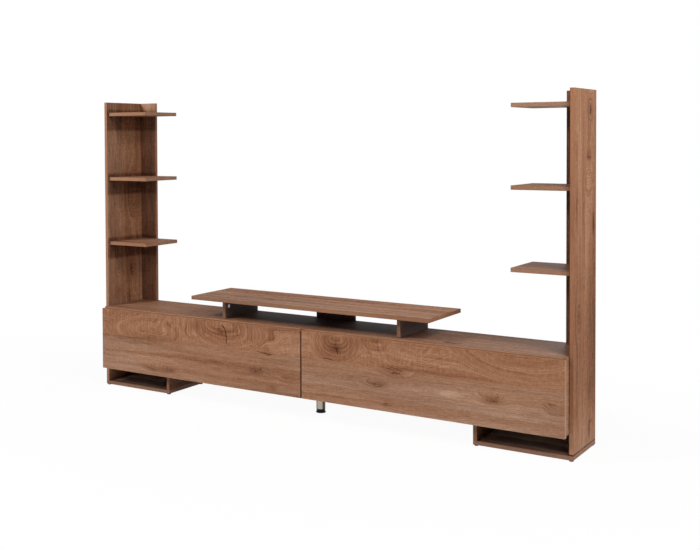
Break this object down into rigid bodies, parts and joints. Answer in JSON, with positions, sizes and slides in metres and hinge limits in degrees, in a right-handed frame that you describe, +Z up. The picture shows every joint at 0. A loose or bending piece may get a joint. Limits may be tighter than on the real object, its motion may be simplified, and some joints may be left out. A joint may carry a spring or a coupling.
{
  "type": "tv cabinet",
  "caption": "Wide low television cabinet with lift-up flaps between tall open shelf towers, with a raised board for the television, open plinths and a middle leg.",
  "frame": {"origin": "on the floor, at the middle of the width and of the depth", "axes": "+X to the right-hand tower seen from the front, +Y to the wall behind, +Z up"},
  "size_m": [2.2, 0.3044, 1.325],
  "materials": {
    "brown_oak_board": "brown oak print with knots, satin",
    "dark_back_sheet": "thin lacquered fibreboard, matt",
    "black_plastic": "moulded, fine texture",
    "bright_chrome": "polished plating",
    "bright_zinc": "die-cast, bright zinc",
    "plated_steel": "zinc plated",
    "black_painted_steel": "black paint, satin",
    "bronzed_steel": "dark bronze, matt"
  },
  "bodies": {
    "cabinet": {"cabinet_back_left": "dark_back_sheet", "cabinet_back_right": "dark_back_sheet", "cabinet_bottom": "brown_oak_board", "cabinet_divider": "brown_oak_board", "cabinet_end_left": "brown_oak_board", "cabinet_end_right": "brown_oak_board", "cabinet_top": "brown_oak_board", "glide_left_front_inner": "black_plastic", "glide_left_front_outer": "black_plastic", "glide_left_rear_inner": "black_plastic", "glide_left_rear_outer": "black_plastic", "glide_right_front_inner": "black_plastic", "glide_right_front_outer": "black_plastic", "glide_right_rear_inner": "black_plastic", "glide_right_rear_outer": "black_plastic", "hinge_left_fixed_leaf": "bronzed_steel", "hinge_left_pin": "bronzed_steel", "hinge_right_fixed_leaf": "bronzed_steel", "hinge_right_pin": "bronzed_steel", "leg_insert": "black_plastic", "leg_plate": "plated_steel", "leg_tube": "bright_chrome", "plinth_back_left": "dark_back_sheet", "plinth_back_right": "dark_back_sheet", "plinth_bottom_left": "brown_oak_board", "plinth_bottom_right": "brown_oak_board", "plinth_inner_side_left": "brown_oak_board", "plinth_inner_side_right": "brown_oak_board", "riser_board": "brown_oak_board", "riser_cam_left_front": "bright_zinc", "riser_cam_left_rear": "bright_zinc", "riser_cam_right_front": "bright_zinc", "riser_cam_right_rear": "bright_zinc", "riser_support_centre": "brown_oak_board", "riser_support_left": "brown_oak_board", "riser_support_right": "brown_oak_board", "shelf_left_low": "brown_oak_board", "shelf_left_middle": "brown_oak_board", "shelf_left_top": "brown_oak_board", "shelf_right_low": "brown_oak_board", "shelf_right_middle": "brown_oak_board", "shelf_right_top": "brown_oak_board", "side_panel_left": "brown_oak_board", "side_panel_right": "brown_oak_board", "strut_left_wall_bracket": "plated_steel", "strut_right_wall_bracket": "plated_steel", "tower_back_left": "brown_oak_board", "tower_back_right": "brown_oak_board"},
    "flap_left": {"flap_left": "brown_oak_board", "hinge_left_moving_leaf": "bronzed_steel", "strut_left_flap_bracket": "plated_steel"},
    "flap_right": {"flap_right": "brown_oak_board", "hinge_right_moving_leaf": "bronzed_steel", "strut_right_flap_bracket": "plated_steel"},
    "strut_left_rod": {"strut_left_rod": "plated_steel"},
    "strut_left_cylinder": {"strut_left_cylinder": "black_painted_steel"},
    "strut_right_rod": {"strut_right_rod": "plated_steel"},
    "strut_right_cylinder": {"strut_right_cylinder": "black_painted_steel"},
    "leg_foot": {"leg_foot": "black_plastic"}
  },
  "joints": [
    {"name": "flap_left_hinge", "type": "hinge", "parent": "cabinet", "child": "flap_left", "pos_m": [-0.54275, -0.13635, 0.3702], "axis": [-1, 0, 0], "range_deg": [0, 90]},
    {"name": "strut_left_rod_hinge", "type": "hinge", "parent": "flap_left", "child": "strut_left_rod", "pos_m": [-1.0557, -0.12115, 0.3342], "axis": [-1, 0, 0], "range_deg": [-84, 0]},
    {"name": "strut_left_slide", "type": "slide", "parent": "strut_left_rod", "child": "strut_left_cylinder", "axis": [0, 1, 0.006], "range_m": [0, 0.053]},
    {"name": "flap_right_hinge", "type": "hinge", "parent": "cabinet", "child": "flap_right", "pos_m": [0.54275, -0.13635, 0.3702], "axis": [-1, 0, 0], "range_deg": [0, 90]},
    {"name": "strut_right_rod_hinge", "type": "hinge", "parent": "flap_right", "child": "strut_right_rod", "pos_m": [1.0557, -0.12115, 0.3342], "axis": [-1, 0, 0], "range_deg": [-84, 0]},
    {"name": "strut_right_slide", "type": "slide", "parent": "strut_right_rod", "child": "strut_right_cylinder", "axis": [0, 1, 0.006], "range_m": [0, 0.053]},
    {"name": "leg_foot_height", "type": "slide", "parent": "cabinet", "child": "leg_foot", "axis": [0, 0, -1], "range_m": [0, 0.01]}
  ],
  "couplings": [
    {"joint": "strut_left_rod_hinge", "follows": "flap_left_hinge", "ratio": -0.92744},
    {"joint": "strut_left_slide", "follows": "flap_left_hinge", "m_per_rad": 0.033281},
    {"joint": "strut_right_rod_hinge", "follows": "flap_right_hinge", "ratio": -0.92744},
    {"joint": "strut_right_slide", "follows": "flap_right_hinge", "m_per_rad": 0.033281}
  ]
}
